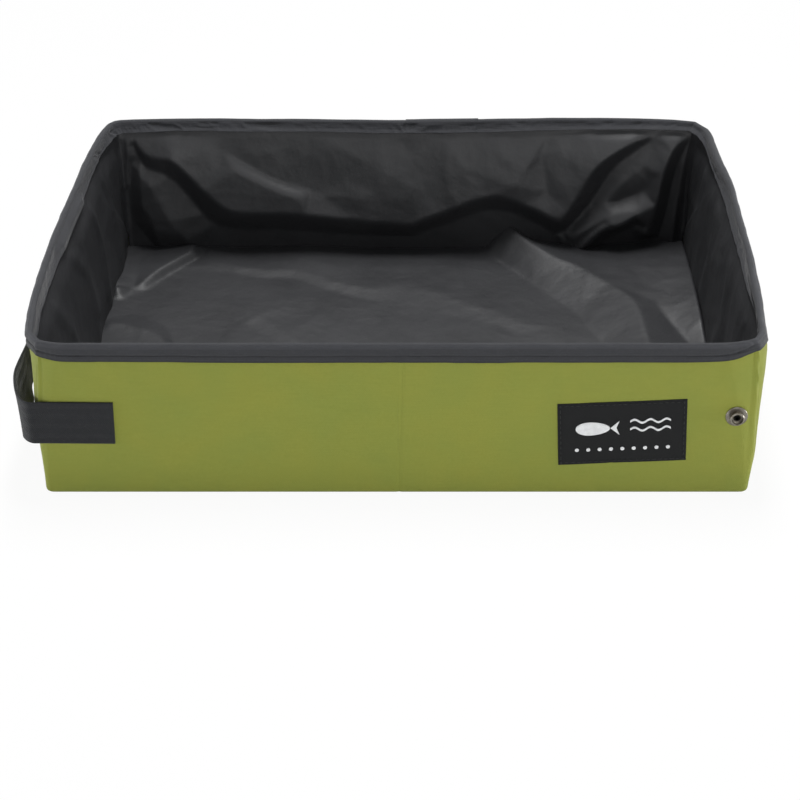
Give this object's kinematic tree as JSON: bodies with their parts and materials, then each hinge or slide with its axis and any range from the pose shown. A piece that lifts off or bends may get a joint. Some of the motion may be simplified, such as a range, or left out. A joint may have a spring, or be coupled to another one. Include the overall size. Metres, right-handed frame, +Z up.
{
  "type": "foldable litter box",
  "caption": "Fabric litter tray with board-stiffened walls on fold lines, soft corner gussets and a snap strap; it folds flat and then in half.",
  "frame": {"origin": "under the middle of the open tray, on the fold line, at the surface it stands on", "axes": "+X along the long side to the right end, +Y to the rear wall, +Z up"},
  "size_m": [0.4233, 0.3049, 0.1],
  "materials": {
    "oxford": "woven polyester, matt, green",
    "lining": "coated waterproof cloth, satin, charcoal",
    "board": "plain stiffener sheet",
    "tape": "ribbed binding tape, charcoal",
    "webbing": "woven webbing, near black",
    "label": "woven satin, black",
    "metal": "dark plated snap"
  },
  "bodies": {
    "base_left": {"bottom_skin_left": "oxford", "floor_board_left": "board", "floor_lining_left": "lining"},
    "base_right": {"bottom_skin_right": "oxford", "floor_board_right": "board", "floor_lining_right": "lining"},
    "front_left": {"front_skin_left": "oxford", "front_board_left": "board", "front_lining_left": "lining", "front_binding_left": "tape", "strap_tab": "webbing"},
    "rear_left": {"rear_skin_left": "oxford", "rear_board_left": "board", "rear_lining_left": "lining", "rear_binding_left": "tape"},
    "front_right": {"front_skin_right": "oxford", "front_board_right": "board", "front_lining_right": "lining", "front_binding_right": "tape", "woven_label": "label", "snap_stud": "metal", "stud_rivet": "metal"},
    "rear_right": {"rear_skin_right": "oxford", "rear_board_right": "board", "rear_lining_right": "lining", "rear_binding_right": "tape"},
    "end_left": {"end_skin_left": "oxford", "end_board_left": "board", "end_lining_left": "lining", "end_binding_left": "tape"},
    "end_right": {"end_skin_right": "oxford", "end_board_right": "board", "end_lining_right": "lining", "end_binding_right": "tape"},
    "gusset_front_left": {"gusset_skin_front_left": "oxford", "gusset_lining_front_left": "lining", "gusset_binding_front_left": "tape"},
    "gusset_rear_left": {"gusset_skin_rear_left": "oxford", "gusset_lining_rear_left": "lining", "gusset_binding_rear_left": "tape"},
    "gusset_front_right": {"gusset_skin_front_right": "oxford", "gusset_lining_front_right": "lining", "gusset_binding_front_right": "tape"},
    "gusset_rear_right": {"gusset_skin_rear_right": "oxford", "gusset_lining_rear_right": "lining", "gusset_binding_rear_right": "tape"},
    "strap": {"strap_band": "webbing", "snap_cap": "metal", "snap_socket": "metal"}
  },
  "joints": [
    {"name": "centre_fold", "type": "hinge", "parent": "base_left", "child": "base_right", "pos_m": [0, 0, -0.00015], "axis": [0, 1, 0], "range_deg": [0, 180]},
    {"name": "end_left_fold", "type": "hinge", "parent": "base_left", "child": "end_left", "pos_m": [-0.197, 0, 0.0076], "axis": [0, 1, 0], "range_deg": [0, 90]},
    {"name": "front_left_fold", "type": "hinge", "parent": "base_left", "child": "front_left", "pos_m": [-0.1, -0.147, 0.0156], "axis": [-1, 0, 0], "range_deg": [0, 90]},
    {"name": "gusset_front_left_fold", "type": "hinge", "parent": "front_left", "child": "gusset_front_left", "pos_m": [-0.1988, -0.1451, 0.0156], "axis": [0, 0, -1], "range_deg": [0, 90], "deforming": ["gusset_skin_front_left", "gusset_lining_front_left", "gusset_binding_front_left"]},
    {"name": "rear_left_fold", "type": "hinge", "parent": "base_left", "child": "rear_left", "pos_m": [-0.1, 0.147, 0.0156], "axis": [1, 0, 0], "range_deg": [0, 90]},
    {"name": "gusset_rear_left_fold", "type": "hinge", "parent": "rear_left", "child": "gusset_rear_left", "pos_m": [-0.1988, 0.1451, 0.0156], "axis": [0, 0, 1], "range_deg": [0, 90], "deforming": ["gusset_skin_rear_left", "gusset_lining_rear_left", "gusset_binding_rear_left"]},
    {"name": "end_right_fold", "type": "hinge", "parent": "base_right", "child": "end_right", "pos_m": [0.197, 0, 0.0076], "axis": [0, -1, 0], "range_deg": [0, 90]},
    {"name": "front_right_fold", "type": "hinge", "parent": "base_right", "child": "front_right", "pos_m": [0.1, -0.147, 0.0156], "axis": [-1, 0, 0], "range_deg": [0, 90]},
    {"name": "gusset_front_right_fold", "type": "hinge", "parent": "front_right", "child": "gusset_front_right", "pos_m": [0.1988, -0.1451, 0.0156], "axis": [0, 0, 1], "range_deg": [0, 90], "deforming": ["gusset_skin_front_right", "gusset_lining_front_right", "gusset_binding_front_right"]},
    {"name": "rear_right_fold", "type": "hinge", "parent": "base_right", "child": "rear_right", "pos_m": [0.1, 0.147, 0.0156], "axis": [1, 0, 0], "range_deg": [0, 90]},
    {"name": "gusset_rear_right_fold", "type": "hinge", "parent": "rear_right", "child": "gusset_rear_right", "pos_m": [0.1988, 0.1451, 0.0156], "axis": [0, 0, -1], "range_deg": [0, 90], "deforming": ["gusset_skin_rear_right", "gusset_lining_rear_right", "gusset_binding_rear_right"]},
    {"name": "strap_swing", "type": "hinge", "parent": "front_left", "child": "strap", "pos_m": [-0.2009, -0.1509, 0.0495], "axis": [0, 0, 1], "range_deg": [0, 90]}
  ],
  "couplings": [
    {"joint": "end_left_fold", "follows": "centre_fold", "ratio": 0.5},
    {"joint": "front_left_fold", "follows": "centre_fold", "ratio": 0.5},
    {"joint": "gusset_front_left_fold", "follows": "centre_fold", "ratio": 0.5},
    {"joint": "rear_left_fold", "follows": "centre_fold", "ratio": 0.5},
    {"joint": "gusset_rear_left_fold", "follows": "centre_fold", "ratio": 0.5},
    {"joint": "end_right_fold", "follows": "centre_fold", "ratio": 0.5},
    {"joint": "front_right_fold", "follows": "centre_fold", "ratio": 0.5},
    {"joint": "gusset_front_right_fold", "follows": "centre_fold", "ratio": 0.5},
    {"joint": "rear_right_fold", "follows": "centre_fold", "ratio": 0.5},
    {"joint": "gusset_rear_right_fold", "follows": "centre_fold", "ratio": 0.5}
  ]
}
